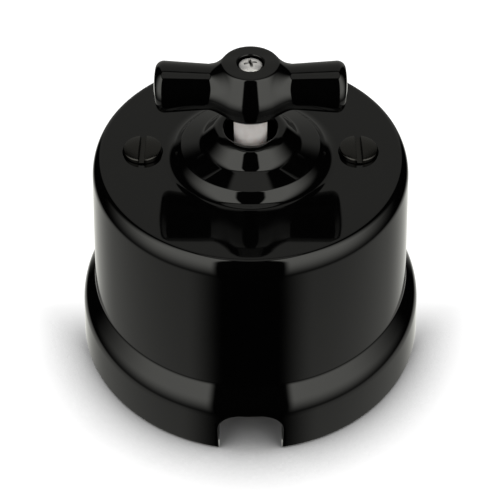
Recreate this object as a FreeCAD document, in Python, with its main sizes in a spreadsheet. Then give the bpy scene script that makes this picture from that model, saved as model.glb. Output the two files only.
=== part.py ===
import FreeCAD, Part
import math
import os
import re

import Sketcher
from FreeCAD import Vector

# A surface-mounted rotary switch in black glazed porcelain, in millimetres.
# The origin is on the knob's axis, on the wall face. +Z points from the wall to the knob,
# and the cable notch is on the -Y side.

SIZES = {
    # What turns: the contact carrier and the spindle.
    "contact_offset": 6.0,
    "bridge_width": 3.5,
    "bridge_overlap": 2.0,
    "bridge_thickness": 1.0,
    "carrier_margin": 0.16,
    "carrier_thickness": 3.2,
    "rivet_offset": 3.5,
    "rivet_radius": 0.9,
    "rivet_head_radius": 1.4,
    "rivet_head_height": 0.6,
    "pivot_radius": 2.0,
    "pivot_web": 1.1,
    "drive_side": 5.0,
    "cam_side": 10.0,
    "cam_corner_reach": 1.3,
    "cam_height": 4.0,
    "journal_radius": 4.0,
    "shaft_radius": 3.0,
    "spring_gap": 3.0,
    "spring_wire": 0.65,
    "spring_turns": 2.5,
    "leaf_thickness": 0.5,
    "leaf_seat": 0.48,
    "leaf_height": 3.6,
    # The mechanism's cup, cap and long screws.
    "carrier_clearance": 0.5,
    "cup_wall": 1.2,
    "cup_floor": 4.2,
    "ear_reach": 2.4,
    "ear_radius": 3.2,
    "ear_angle": 150.0,
    "cap_thickness": 3.0,
    "cap_boss_wall": 2.45,
    "cap_boss_height": 4.0,
    "long_screw_radius": 1.5,
    "long_head_radius": 2.75,
    "long_head_height": 2.0,
    "nut_across_flats": 5.5,
    "nut_thickness": 2.4,
    "nut_recess": 3.2,
    # The fixed contacts and the terminals.
    "contact_width": 4.0,
    "contact_thickness": 1.0,
    "contact_inner_end": 4.0,
    "tip_radius": 1.3,
    "tip_height": 0.5,
    "terminal_side": 7.0,
    "terminal_height": 9.0,
    "terminal_gap": 1.0,
    "tunnel_radius": 1.75,
    "tunnel_height": 5.2,
    "clamp_screw_radius": 1.45,
    "clamp_screw_reach": 0.15,
    "clamp_head_radius": 2.6,
    "clamp_head_height": 1.8,
    "foot_screw_radius": 1.25,
    "foot_screw_bite": 2.4,
    "foot_head_radius": 2.4,
    "foot_head_height": 1.6,
    "foot_head_recess": 2.5,
    # The base.
    "base_thickness": 7.0,
    "base_gap": 1.3,
    "base_round": 0.8,
    "bar_gap": 0.4,
    "bar_margin": 0.5,
    "bar_side_margin": 1.0,
    "channel_margin": 0.5,
    "channel_web": 0.7,
    "partition_thickness": 1.6,
    "partition_height": 6.0,
    "wall_hole_radius": 2.25,
    "wall_hole_gap": 0.8,
    "wall_hole_angle": 30.0,
    "wall_hole_recess_radius": 4.2,
    "wall_hole_recess": 3.0,
    # The two cover screws and the pillars that they are driven into.
    "cover_screw_radius": 2.0,
    "cover_screw_length": 14.0,
    "cover_head_radius": 3.52,
    "cover_head_side": 2.15,
    "cover_head_crown": 0.5,
    "cover_head_recess": 1.6,
    "screw_slot_width": 1.1,
    "screw_slot_depth": 1.1,
    "pillar_across_flats": 7.0,
    "pillar_gap": 2.63,
    "pillar_thread_depth": 8.0,
    "pillar_head_radius": 3.4,
    "pillar_head_height": 2.4,
    "pillar_head_recess": 2.7,
    # The bell cover's wall, from the inside out. Corners are given before they are rounded.
    "cover_height": 45.0,
    "lid_thickness": 4.5,
    "cavity_gap": 2.19,
    "cavity_round": 1.8,
    "drum_wall": 3.0,
    "drum_draft": 2.35,
    "rim_wall": 5.4,
    "rim_draft": 1.0,
    "brim_height": 10.7,
    "shoulder_width": 2.75,
    "shoulder_height": 4.5,
    "lid_bevel_width": 1.12,
    "lid_bevel_height": 1.95,
    "rim_round": 0.5,
    "brim_round": 8.0,
    "drum_foot_round": 1.6,
    "drum_top_round": 6.5,
    "lid_round": 1.2,
    # The ring, the dish and the turret that are moulded on the lid.
    "lid_dip": 0.3,
    "ring_gap": 1.35,
    "ring_slope_width": 1.95,
    "ring_height": 1.7,
    "ring_foot_round": 3.6,
    "ring_top_round": 0.6,
    "dish_rise": 1.3,
    "bore_gap": 1.65,
    "bore_round": 0.6,
    "turret_wall": 1.6,
    "turret_slope_width": 2.65,
    "turret_height": 5.35,
    "turret_foot_round": 2.2,
    "turret_top_round": 2.0,
    # The cable notch in the rim.
    "notch_width": 12.0,
    "notch_height": 9.9,
    "notch_round": 4.2,
    # The knob and its screw.
    "knob_lift": 4.1,
    "hub_top_radius": 4.9,
    "hub_belly_radius": 7.55,
    "hub_belly_height": 3.15,
    "hub_foot_radius": 4.3,
    "hub_height": 9.95,
    "hub_top_round": 0.45,
    "hub_belly_round": 2.0,
    "arm_axis_height": 4.9,
    "arm_reach": 16.67,
    "arm_waist_radius": 3.85,
    "arm_waist_place": 6.0,
    "arm_end_radius": 4.55,
    "arm_crown": 0.7,
    "arm_end_round": 1.9,
    "knob_fillet": 1.2,
    "knob_socket_depth": 1.6,
    "knob_web": 3.25,
    "drive_corner_cut": 0.04,
    "knob_screw_radius": 1.0,
    "knob_screw_bite": 6.5,
    "knob_head_radius": 2.0,
    "knob_head_side": 0.75,
    "knob_head_crown": 0.6,
    "knob_head_recess": 1.2,
    "knob_recess_gap": 0.35,
    "cross_slot_width": 0.6,
    "cross_slot_length": 2.3,
    "cross_slot_depth": 0.8,
    # Clearances.
    "running_clearance": 0.05,
    "wiping_clearance": 0.1,
    "axial_play": 0.4,
    "fit_clearance": 0.05,
    "loose_clearance": 0.15,
}

# Sizes that follow from the list: first outwards from the axis, then upwards from the wall.
FOLLOWING = {
    "bridge_length": "2 * (contact_offset + bridge_overlap)",
    "bridge_corner": "sqrt((contact_offset + bridge_width / 2) ^ 2 + (bridge_length / 2) ^ 2)",
    "carrier_radius": "bridge_corner + carrier_margin",
    "cup_bore_radius": "carrier_radius + carrier_clearance",
    "cup_radius": "cup_bore_radius + cup_wall",
    "ear_offset": "cup_radius + ear_reach",
    "ear_x": "ear_offset * cos(ear_angle * 1 deg)",
    "ear_y": "ear_offset * sin(ear_angle * 1 deg)",
    "cam_corner_radius": "cam_side / 2 + cam_corner_reach",
    "leaf_place": "cam_side / 2 + wiping_clearance + leaf_thickness / 2",
    "leaf_length": "2 * (sqrt(cup_bore_radius ^ 2 - leaf_place ^ 2) + leaf_seat)",
    "spring_mean_radius": "drive_side / sqrt(2) + carrier_clearance + spring_wire / 2",
    "cap_boss_radius": "journal_radius + cap_boss_wall",
    "terminal_place": "cup_radius + terminal_gap + terminal_side / 2",
    "contact_outer_end": "terminal_place + terminal_side / 2",
    "bar_inner_edge": "cup_radius + bar_gap",
    "bar_outer_edge": "contact_outer_end + bar_margin",
    "bar_width": "2 * (contact_offset + terminal_side / 2 + bar_side_margin)",
    "channel_end": "bar_outer_edge + channel_web",
    "channel_width": "notch_width + 2 * channel_margin",
    "wall_hole_circle_radius": "cup_radius + wall_hole_gap + wall_hole_recess_radius",
    "wall_hole_x": "wall_hole_circle_radius * cos(wall_hole_angle * 1 deg)",
    "wall_hole_y": "wall_hole_circle_radius * sin(wall_hole_angle * 1 deg)",
    "pillar_corner": "pillar_across_flats / sqrt(3)",
    "cover_screw_place": "cup_radius + pillar_gap + pillar_corner",
    "cavity_top_radius": "cover_screw_place + pillar_corner + cavity_gap",
    "drum_top_radius": "cavity_top_radius + drum_wall",
    "drum_foot_radius": "drum_top_radius + drum_draft",
    "brim_radius": "drum_foot_radius + shoulder_width",
    "rim_radius": "brim_radius + rim_draft",
    "cavity_foot_radius": "rim_radius - rim_wall",
    "base_radius": "cavity_foot_radius - base_gap",
    "head_recess_radius": "cover_head_radius + loose_clearance",
    "ring_foot_radius": "cover_screw_place - head_recess_radius - ring_gap",
    "ring_top_radius": "ring_foot_radius - ring_slope_width",
    "bore_radius": "shaft_radius + bore_gap",
    "turret_top_radius": "bore_radius + turret_wall",
    "turret_foot_radius": "turret_top_radius + turret_slope_width",
    "knob_drive_side": "shaft_radius * sqrt(2) - drive_corner_cut",
    "knob_recess_radius": "knob_head_radius + knob_recess_gap",
    "contact_level": "base_thickness + cup_floor",
    "pivot_level": "base_thickness + pivot_web + axial_play",
    "terminal_level": "contact_level + contact_thickness",
    "terminal_top_level": "terminal_level + terminal_height",
    "clamp_screw_length": "terminal_height - tunnel_height - tunnel_radius + clamp_screw_reach",
    "tip_level": "terminal_level + tip_height",
    "bridge_level": "tip_level + wiping_clearance",
    "carrier_level": "bridge_level + bridge_thickness",
    "carrier_top_level": "carrier_level + carrier_thickness",
    "cam_level": "carrier_top_level + spring_gap",
    "cam_top_level": "cam_level + cam_height",
    "cup_top_level": "cam_top_level + axial_play",
    "cap_top_level": "cup_top_level + cap_thickness",
    "boss_top_level": "cap_top_level + cap_boss_height",
    "drum_foot_height": "brim_height + shoulder_height",
    "ceiling_level": "cover_height - lid_thickness",
    "drum_top_level": "cover_height - lid_bevel_height",
    "cover_seat_level": "cover_height - cover_head_recess",
    "lid_dip_level": "cover_height - lid_dip",
    "ring_level": "lid_dip_level + ring_height",
    "dish_level": "ring_level + dish_rise",
    "turret_level": "cover_height + turret_height",
    "knob_level": "turret_level + knob_lift",
    "arm_level": "knob_level + arm_axis_height",
    "hub_top_level": "knob_level + hub_height",
    "knob_seat_level": "hub_top_level - knob_head_recess",
    "knob_drive_level": "knob_level + knob_socket_depth",
    "spindle_top_level": "knob_seat_level - knob_web",
    "knob_drive_length": "spindle_top_level - knob_drive_level",
    # A rounding that shares a short slope takes no more than its part of it.
    "shoulder_slope": "sqrt(shoulder_width ^ 2 + shoulder_height ^ 2)",
    "shoulder_turn": "atan(shoulder_width / shoulder_height) - atan(rim_draft / brim_height)",
    "brim_fillet": "min(brim_round; 0.6 * shoulder_slope / tan(shoulder_turn / 2))",
    "foot_turn": "atan(shoulder_width / shoulder_height) - atan(drum_draft / (drum_top_level - drum_foot_height))",
    "drum_foot_fillet": "min(drum_foot_round; 0.3 * shoulder_slope / tan(foot_turn / 2))",
    "bevel_slope": "sqrt(lid_bevel_width ^ 2 + lid_bevel_height ^ 2)",
    "bevel_turn": "atan(lid_bevel_height / lid_bevel_width)",
    "lid_fillet": "min(lid_round; 0.34 * bevel_slope / tan(bevel_turn / 2))",
    "drum_turn": "90 deg - bevel_turn - atan(drum_draft / (drum_top_level - drum_foot_height))",
    "drum_top_fillet": "min(drum_top_round; 0.65 * bevel_slope / tan(drum_turn / 2))",
    "ring_slope": "sqrt(ring_slope_width ^ 2 + ring_height ^ 2)",
    "ring_turn": "atan(ring_height / ring_slope_width)",
    "ring_foot_fillet": "min(ring_foot_round; 0.75 * ring_slope / tan(ring_turn / 2))",
    "ring_top_fillet": "min(ring_top_round; 0.2 * ring_slope / tan(ring_turn / 2))",
    "turret_turn": "atan((turret_level - dish_level) / turret_slope_width)",
    "turret_top_fillet": "min(turret_top_round; 0.51 * turret_wall / tan(turret_turn / 2))",
    "bore_fillet": "min(bore_round; 0.47 * turret_wall)",
}

# How far a cutting shape stands past the face that it opens.
OVERSHOOT = 2.0

doc = FreeCAD.newDocument("porcelain_rotary_switch")
sheet = doc.addObject("Spreadsheet::Sheet", "sizes")
for row, (alias, value) in enumerate(SIZES.items(), start=1):
    sheet.set("A%d" % row, alias)
    sheet.set("B%d" % row, str(value))
    sheet.setAlias("B%d" % row, alias)
doc.recompute()


def bound(text):
    """Write a formula over the named sizes as one over the sheet's cells."""

    def look_up(match):
        word = match.group(0)
        if word in FOLLOWING:
            return "(" + bound(FOLLOWING[word]) + ")"
        if word in SIZES:
            return "sizes." + word
        return word

    return re.sub(r"[a-z]\w*", look_up, str(text))


def measure(text):
    """The number that a formula over the named sizes comes to."""
    value = sheet.evalExpression(bound(text))
    return float(getattr(value, "Value", value))


def bind(thing, **properties):
    """Tie properties of an object to formulas; x, y and z are its place."""
    places = {"x": "Placement.Base.x", "y": "Placement.Base.y", "z": "Placement.Base.z"}
    for name, formula in properties.items():
        thing.setExpression(places.get(name, name), bound(formula))
    return thing


def name_piece(thing, label):
    thing.Label = label
    nodes.append(thing)
    return thing


nodes = []


# Sketches and features of a body

def start_body(label):
    return name_piece(doc.addObject("PartDesign::Body", label), label)


def start_sketch(body, name, role, level="0"):
    """An empty sketch on one of the body's own origin planes, moved along its normal."""
    sketch = body.newObject("Sketcher::SketchObject", body.Name + "_" + name)
    plane = next(item for item in body.Origin.OriginFeatures if item.Role == role)
    sketch.AttachmentSupport = [(plane, "")]
    sketch.MapMode = "FlatFace"
    sketch.setExpression("AttachmentOffset.Base.z", bound(level))
    return sketch


def hold(sketch, geometry, position, across, up):
    """Fix a point of the sketch at two formulas."""
    for kind, formula in (("DistanceX", across), ("DistanceY", up)):
        number = sketch.addConstraint(
            Sketcher.Constraint(kind, -1, 1, geometry, position, measure(formula))
        )
        sketch.setExpression("Constraints[%d]" % number, bound(formula))


def arc_between(start, end, radius, turns_left):
    """The short arc from start to end; it bulges right where it turns left."""
    chord = end - start
    rise = math.sqrt(max(radius ** 2 - chord.Length ** 2 / 4, 0))
    left = Vector(-chord.y, chord.x, 0).normalize()
    centre = (start + end) / 2 + left * (rise if turns_left else -rise)
    first, last = (start, end) if turns_left else (end, start)
    angles = [math.atan2(point.y - centre.y, point.x - centre.x) for point in (first, last)]
    return Part.ArcOfCircle(Part.Circle(centre, Vector(0, 0, 1), radius), *angles)


def draw(sketch, points, arcs=None):
    """Add a closed outline. arcs gives the radius of each side that is an arc, negative if hollow."""
    arcs = arcs or {}
    corners = [Vector(measure(across), measure(up), 0) for across, up in points]
    first = sketch.GeometryCount
    sides = []
    for number, corner in enumerate(corners):
        following = corners[(number + 1) % len(corners)]
        radius = measure(arcs[number]) if number in arcs else 0
        if radius:
            sketch.addGeometry(arc_between(corner, following, abs(radius), radius > 0))
        else:
            sketch.addGeometry(Part.LineSegment(corner, following))
        sides.append((first + number, (2, 1) if radius < 0 else (1, 2)))
    for number, (side, (start, end)) in enumerate(sides):
        other, (other_start, other_end) = sides[(number + 1) % len(sides)]
        sketch.addConstraint(Sketcher.Constraint("Coincident", side, end, other, other_start))
        hold(sketch, side, start, *points[number])
    for number, formula in arcs.items():
        radius = abs(measure(formula))
        index = sketch.addConstraint(Sketcher.Constraint("Radius", first + number, radius))
        sketch.setExpression("Constraints[%d]" % index, bound("abs(%s)" % formula))
    return sketch


def draw_box(sketch, low_x, low_y, high_x, high_y):
    return draw(sketch, [(low_x, low_y), (high_x, low_y), (high_x, high_y), (low_x, high_y)])


def draw_circle(sketch, radius, across="0", up="0"):
    centre = Vector(measure(across), measure(up), 0)
    circle = sketch.addGeometry(Part.Circle(centre, Vector(0, 0, 1), measure(radius)))
    hold(sketch, circle, 3, across, up)
    index = sketch.addConstraint(Sketcher.Constraint("Radius", circle, measure(radius)))
    sketch.setExpression("Constraints[%d]" % index, bound(radius))
    return sketch


def add_feature(body, kind, name, sketch, **properties):
    feature = body.newObject(kind, body.Name + "_" + name)
    feature.Profile = sketch
    bind(feature, **properties)
    return feature


def revolve(body, name, sketch, axis="V_Axis"):
    feature = add_feature(body, "PartDesign::Revolution", name, sketch)
    feature.ReferenceAxis = (sketch, [axis])
    feature.Angle = 360
    doc.recompute()
    return feature


def pad(body, name, sketch, length):
    feature = add_feature(body, "PartDesign::Pad", name, sketch, Length=length)
    doc.recompute()
    return feature


def pocket(body, name, sketch, length, forward=False):
    """Cut against the sketch's normal, or along it where forward is true."""
    feature = add_feature(body, "PartDesign::Pocket", name, sketch, Length=length)
    feature.Reversed = forward
    before = body.Shape.Volume
    doc.recompute()
    if body.Shape.Volume >= before:
        raise RuntimeError(feature.Name + " removes nothing")
    return feature


def round_edges(body, name, radius, chosen):
    """Fillet the edges of the body that chosen picks."""
    base = body.Tip
    edges = ["Edge%d" % n for n, edge in enumerate(base.Shape.Edges, start=1) if chosen(edge)]
    if not edges:
        raise RuntimeError(body.Name + " has no edge for " + name)
    feature = body.newObject("PartDesign::Fillet", body.Name + "_" + name)
    feature.Base = (base, edges)
    bind(feature, Radius=radius)
    doc.recompute()
    return feature


def near(value, formula):
    return abs(value - measure(formula)) < 1e-3


def circle_at(radius, level):
    """Picks the full circles about the Z axis with this radius and height."""

    def chosen(edge):
        box = edge.BoundBox
        flat = near(box.ZMin, level) and near(box.ZMax, level)
        return flat and near(box.XMax, radius) and near(-box.XMin, radius) and near(box.YMax, radius)

    return chosen


# Part primitives and booleans

def cylinder(name, radius, length, x="0", y="0", z="0"):
    thing = doc.addObject("Part::Cylinder", name)
    return bind(thing, Radius=radius, Height=length, x=x, y=y, z=z)


def cylinder_along_y(name, radius, length, x, y, z):
    """A cylinder along Y, centred on its place."""
    thing = doc.addObject("Part::Cylinder", name)
    thing.Placement.Rotation = FreeCAD.Rotation(Vector(1, 0, 0), -90)
    return bind(thing, Radius=radius, Height=length, x=x, y="%s - %s / 2" % (y, length), z=z)


def block(name, width, depth, height, x="0", y="0", z="0"):
    """A box centred across X and Y, standing on z."""
    thing = doc.addObject("Part::Box", name)
    corner_x = "%s - (%s) / 2" % (x, width)
    corner_y = "%s - (%s) / 2" % (y, depth)
    return bind(thing, Length=width, Width=depth, Height=height, x=corner_x, y=corner_y, z=z)


def hexagon(name, across_flats, height, x, y, z):
    thing = doc.addObject("Part::Prism", name)
    thing.Polygon = 6
    return bind(thing, Circumradius="%s / sqrt(3)" % across_flats, Height=height, x=x, y=y, z=z)


def cut(name, base, tools):
    """base less every tool."""
    tool = tools[0]
    if len(tools) > 1:
        tool = doc.addObject("Part::MultiFuse", name + "_tools")
        tool.Shapes = tools
    thing = doc.addObject("Part::Cut", name)
    thing.Base = base
    thing.Tool = tool
    return thing


def fuse(name, pieces):
    thing = doc.addObject("Part::MultiFuse", name)
    thing.Shapes = pieces
    thing.Refine = True
    return thing


def group(label, pieces):
    """Like pieces that share one node, each a solid of its own."""
    thing = doc.addObject("Part::Compound", label)
    thing.Links = pieces
    return name_piece(thing, label)


CORNERS = {
    "front_left": (-1, -1),
    "front_right": (1, -1),
    "rear_left": (-1, 1),
    "rear_right": (1, 1),
}


# Cover: one shell of black glazed porcelain, with its ring, dish and turret

cover = start_body("cover")
section = start_sketch(cover, "section", "XZ_Plane")
draw(section, [
    ("cavity_foot_radius", "0"),
    ("rim_radius", "0"),
    ("brim_radius", "brim_height"),
    ("drum_foot_radius", "drum_foot_height"),
    ("drum_top_radius", "drum_top_level"),
    ("drum_top_radius - lid_bevel_width", "cover_height"),
    ("ring_foot_radius", "lid_dip_level"),
    ("ring_top_radius", "ring_level"),
    ("turret_foot_radius", "dish_level"),
    ("turret_top_radius", "turret_level"),
    ("bore_radius", "turret_level"),
    ("bore_radius", "ceiling_level"),
    ("cavity_top_radius", "ceiling_level"),
])
revolve(cover, "bell", section)
for name, radius, edge_radius, edge_level in (
    ("rim_edge", "rim_round", "rim_radius", "0"),
    ("brim_edge", "brim_fillet", "brim_radius", "brim_height"),
    ("drum_foot", "drum_foot_fillet", "drum_foot_radius", "drum_foot_height"),
    ("drum_top", "drum_top_fillet", "drum_top_radius", "drum_top_level"),
    ("lid_edge", "lid_fillet", "drum_top_radius - lid_bevel_width", "cover_height"),
    ("ring_foot", "ring_foot_fillet", "ring_foot_radius", "lid_dip_level"),
    ("ring_top", "ring_top_fillet", "ring_top_radius", "ring_level"),
    ("turret_foot", "turret_foot_round", "turret_foot_radius", "dish_level"),
    ("turret_top", "turret_top_fillet", "turret_top_radius", "turret_level"),
    ("bore_lip", "bore_fillet", "bore_radius", "turret_level"),
    ("cavity_corner", "cavity_round", "cavity_top_radius", "ceiling_level"),
):
    round_edges(cover, name, radius, circle_at(edge_radius, edge_level))

notch = start_sketch(cover, "notch", "XZ_Plane")
draw(notch, [
    ("-notch_width / 2", str(-OVERSHOOT)),
    ("notch_width / 2", str(-OVERSHOOT)),
    ("notch_width / 2", "notch_height - notch_round"),
    ("notch_width / 2 - notch_round", "notch_height"),
    ("notch_round - notch_width / 2", "notch_height"),
    ("-notch_width / 2", "notch_height - notch_round"),
], arcs={2: "notch_round", 4: "notch_round"})
pocket(cover, "cable_notch", notch, "rim_radius + %s" % OVERSHOOT, forward=True)

for name, radius, depth in (
    ("head_recesses", "head_recess_radius", "cover_head_recess"),
    ("screw_holes", "cover_screw_radius + loose_clearance", "lid_thickness + %s" % OVERSHOOT),
):
    circles = start_sketch(cover, name + "_sketch", "XY_Plane", "cover_height")
    draw_circle(circles, radius, "cover_screw_place")
    draw_circle(circles, radius, "-cover_screw_place")
    pocket(cover, name, circles, depth)


# Base: a white porcelain disc with two bars that carry the terminals

base = start_body("base")
disc = start_sketch(base, "disc_sketch", "XY_Plane")
pad(base, "disc", draw_circle(disc, "base_radius"), "base_thickness")
round_edges(base, "disc_edge", "base_round", circle_at("base_radius", "base_thickness"))
for side, sign in (("front", "-"), ("rear", "")):
    inner, outer = sorted((sign + "bar_inner_edge", sign + "bar_outer_edge"), key=measure)
    bar = start_sketch(base, side + "_bar_sketch", "XY_Plane")
    draw_box(bar, "-bar_width / 2", inner, "bar_width / 2", outer)
    pad(base, side + "_bar", bar, "contact_level")
    wall = start_sketch(base, side + "_partition_sketch", "XY_Plane")
    draw_box(wall, "-partition_thickness / 2", inner, "partition_thickness / 2", outer)
    pad(base, side + "_partition", wall, "contact_level + partition_height")
channel = start_sketch(base, "channel_sketch", "XY_Plane", "base_thickness")
draw_box(channel, "-channel_width / 2", "-base_radius - %s" % OVERSHOOT, "channel_width / 2", "-channel_end")
pocket(base, "channel", channel, "base_thickness + %s" % OVERSHOOT)

pillar_places = [("cover_screw_place", "0"), ("-cover_screw_place", "0")]
ear_places = [("ear_x", "ear_y"), ("-ear_x", "-ear_y")]
wall_hole_places = [("wall_hole_x", "wall_hole_y"), ("-wall_hole_x", "-wall_hole_y")]
terminal_places = [
    ("%d * contact_offset" % sign_x, "%d * terminal_place" % sign_y)
    for sign_x, sign_y in CORNERS.values()
]
through = "contact_level + %s" % OVERSHOOT
for name, places, radius, depth in (
    ("pillar_holes", pillar_places, "cover_screw_radius + loose_clearance", through),
    ("pillar_recesses", pillar_places, "pillar_head_radius + loose_clearance", "pillar_head_recess"),
    ("ear_holes", ear_places, "long_screw_radius + loose_clearance", through),
    ("nut_recesses", ear_places, "nut_across_flats / sqrt(3) + loose_clearance", "nut_recess"),
    ("foot_holes", terminal_places, "foot_screw_radius + loose_clearance", through),
    ("foot_recesses", terminal_places, "foot_head_radius + loose_clearance", "foot_head_recess"),
    ("wall_holes", wall_hole_places, "wall_hole_radius", through),
):
    circles = start_sketch(base, name + "_sketch", "XY_Plane")
    for across, up in places:
        draw_circle(circles, radius, across, up)
    pocket(base, name, circles, depth, forward=True)
recesses = start_sketch(base, "wall_recesses_sketch", "XY_Plane", "base_thickness")
for across, up in wall_hole_places:
    draw_circle(recesses, "wall_hole_recess_radius", across, up)
pocket(base, "wall_recesses", recesses, "wall_hole_recess")


# Cover screws: black steel, slotted, with a raised head

def slotted_screw(name, head_radius, head_side, head_crown, shank_radius, shank_length, seat):
    """The screw's turned form about Z, head up, seated at a height."""
    form = doc.addObject("PartDesign::Body", name)
    section = start_sketch(form, "section", "XZ_Plane")
    crown_radius = "(%s ^ 2 + %s ^ 2) / (2 * %s)" % (head_radius, head_crown, head_crown)
    draw(section, [
        ("0", "-(%s)" % shank_length),
        (shank_radius, "-(%s)" % shank_length),
        (shank_radius, "0"),
        (head_radius, "0"),
        (head_radius, head_side),
        ("0", "%s + %s" % (head_side, head_crown)),
    ], arcs={4: crown_radius})
    revolve(form, "turned", section)
    return bind(form, z=seat)


cover_screws = []
for side, place in (("left", "-cover_screw_place"), ("right", "cover_screw_place")):
    name = "cover_screw_" + side
    form = slotted_screw(
        name + "_form", "cover_head_radius", "cover_head_side", "cover_head_crown",
        "cover_screw_radius", "cover_screw_length", "cover_seat_level",
    )
    bind(form, x=place)
    slot = block(
        name + "_slot", "screw_slot_width", "2 * cover_head_radius + %s" % OVERSHOOT,
        "screw_slot_depth + %s" % OVERSHOOT, place, "0",
        "cover_seat_level + cover_head_side + cover_head_crown - screw_slot_depth",
    )
    cover_screws.append(cut(name, form, [slot]))
group("cover_screws", cover_screws)


# Cover pillars: brass, six-sided, tapped at both ends, and the screws that hold them to the base

pillars = []
pillar_screws = []
for side, place in (("left", "-cover_screw_place"), ("right", "cover_screw_place")):
    name = "pillar_" + side
    bar = hexagon(
        name + "_bar", "pillar_across_flats", "ceiling_level - base_thickness",
        place, "0", "base_thickness",
    )
    hole_radius = "cover_screw_radius + fit_clearance"
    top_depth = "cover_screw_length - (lid_thickness - cover_head_recess) + fit_clearance"
    upper = cylinder(
        name + "_upper_thread", hole_radius, top_depth,
        place, "0", "ceiling_level - (%s)" % top_depth,
    )
    lower = cylinder(
        name + "_lower_thread", hole_radius, "pillar_thread_depth + fit_clearance",
        place, "0", "base_thickness",
    )
    pillars.append(cut(name, bar, [upper, lower]))
    head = cylinder(
        name + "_screw_head", "pillar_head_radius", "pillar_head_height",
        place, "0", "pillar_head_recess - pillar_head_height",
    )
    shank = cylinder(
        name + "_screw_shank", "cover_screw_radius",
        "base_thickness + pillar_thread_depth - pillar_head_recess", place, "0", "pillar_head_recess",
    )
    slot = block(
        name + "_screw_slot", "screw_slot_width", "2 * pillar_head_radius + %s" % OVERSHOOT,
        "screw_slot_depth", place, "0", "pillar_head_recess - pillar_head_height",
    )
    pillar_screws.append(cut(name + "_screw", fuse(name + "_screw_form", [head, shank]), [slot]))
group("cover_pillars", pillars)
group("pillar_screws", pillar_screws)


# Mechanism body: a moulded cup with two ears, slots for the contacts and for the leaf springs

cup = start_body("mechanism_body")
section = start_sketch(cup, "section", "XZ_Plane")
pivot_hole_radius = "pivot_radius + running_clearance"
pivot_hole_floor = "pivot_level - axial_play"
draw(section, [
    ("0", "base_thickness"),
    ("cup_radius", "base_thickness"),
    ("cup_radius", "cup_top_level"),
    ("cup_bore_radius", "cup_top_level"),
    ("cup_bore_radius", "contact_level"),
    (pivot_hole_radius, "contact_level"),
    (pivot_hole_radius, pivot_hole_floor),
    ("0", pivot_hole_floor),
])
revolve(cup, "cup", section)
ears = start_sketch(cup, "ears_sketch", "XY_Plane", "base_thickness")
for across, up in ear_places:
    draw_circle(ears, "ear_radius", across, up)
pad(cup, "ears", ears, "cup_top_level - base_thickness")
holes = start_sketch(cup, "ear_holes_sketch", "XY_Plane", "cup_top_level")
for across, up in ear_places:
    draw_circle(holes, "long_screw_radius + loose_clearance", across, up)
pocket(cup, "ear_holes", holes, "cup_top_level - base_thickness + %s" % OVERSHOOT)
half_window = "contact_width / 2 + loose_clearance"
for direction, forward in (("front", True), ("rear", False)):
    windows = start_sketch(cup, direction + "_windows_sketch", "XZ_Plane")
    for sign in ("-", ""):
        low = "%scontact_offset - (%s)" % (sign, half_window)
        high = "%scontact_offset + %s" % (sign, half_window)
        draw_box(windows, low, "contact_level", high, "terminal_level + loose_clearance")
    pocket(cup, direction + "_windows", windows, "cup_radius + %s" % OVERSHOOT, forward=forward)
leaf_slots = start_sketch(cup, "leaf_slots_sketch", "XY_Plane", "cup_top_level")
half_slot = "leaf_thickness / 2 + loose_clearance"
half_slot_length = "leaf_length / 2 + loose_clearance"
for sign in ("-", ""):
    low = "%s(leaf_place) - (%s)" % (sign, half_slot)
    high = "%s(leaf_place) + %s" % (sign, half_slot)
    draw_box(leaf_slots, low, "-(%s)" % half_slot_length, high, half_slot_length)
pocket(cup, "leaf_slots", leaf_slots, "cup_top_level - cam_level - loose_clearance")


# Mechanism cap: closes the cup and guides the spindle in its boss

cap = start_body("mechanism_cap")
plate = start_sketch(cap, "plate_sketch", "XY_Plane", "cup_top_level")
pad(cap, "plate", draw_circle(plate, "cup_radius"), "cap_thickness")
ears = start_sketch(cap, "ears_sketch", "XY_Plane", "cup_top_level")
for across, up in ear_places:
    draw_circle(ears, "ear_radius", across, up)
pad(cap, "ears", ears, "cap_thickness")
boss = start_sketch(cap, "boss_sketch", "XY_Plane", "cap_top_level")
pad(cap, "boss", draw_circle(boss, "cap_boss_radius"), "cap_boss_height")
bore = start_sketch(cap, "bore_sketch", "XY_Plane", "boss_top_level")
pocket(
    cap, "bore", draw_circle(bore, "journal_radius + running_clearance"),
    "cap_thickness + cap_boss_height + %s" % OVERSHOOT,
)
holes = start_sketch(cap, "ear_holes_sketch", "XY_Plane", "cap_top_level")
for across, up in ear_places:
    draw_circle(holes, "long_screw_radius + loose_clearance", across, up)
pocket(cap, "ear_holes", holes, "cap_thickness + %s" % OVERSHOOT)


# Mechanism screws and nuts: they clamp cap and cup to the base

long_screws = []
nuts = []
for side, (across, up) in zip(("left", "right"), ear_places):
    name = "long_screw_" + side
    nut_level = "nut_recess - nut_thickness"
    head = cylinder(name + "_head", "long_head_radius", "long_head_height", across, up, "cap_top_level")
    shank = cylinder(
        name + "_shank", "long_screw_radius", "cap_top_level - (%s)" % nut_level,
        across, up, nut_level,
    )
    slot = block(
        name + "_slot", "screw_slot_width", "2 * long_head_radius + %s" % OVERSHOOT,
        "screw_slot_depth", across, up, "cap_top_level + long_head_height - screw_slot_depth",
    )
    long_screws.append(cut(name, fuse(name + "_form", [head, shank]), [slot]))
    body = hexagon(
        "nut_" + side + "_body", "nut_across_flats", "nut_thickness", across, up, nut_level,
    )
    thread = cylinder(
        "nut_" + side + "_thread", "long_screw_radius + fit_clearance", "nut_thickness",
        across, up, nut_level,
    )
    nuts.append(cut("nut_" + side, body, [thread]))
group("mechanism_screws", long_screws)
group("mechanism_nuts", nuts)


# Terminals: at each corner a brass contact strip, a terminal block and its screws

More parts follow.
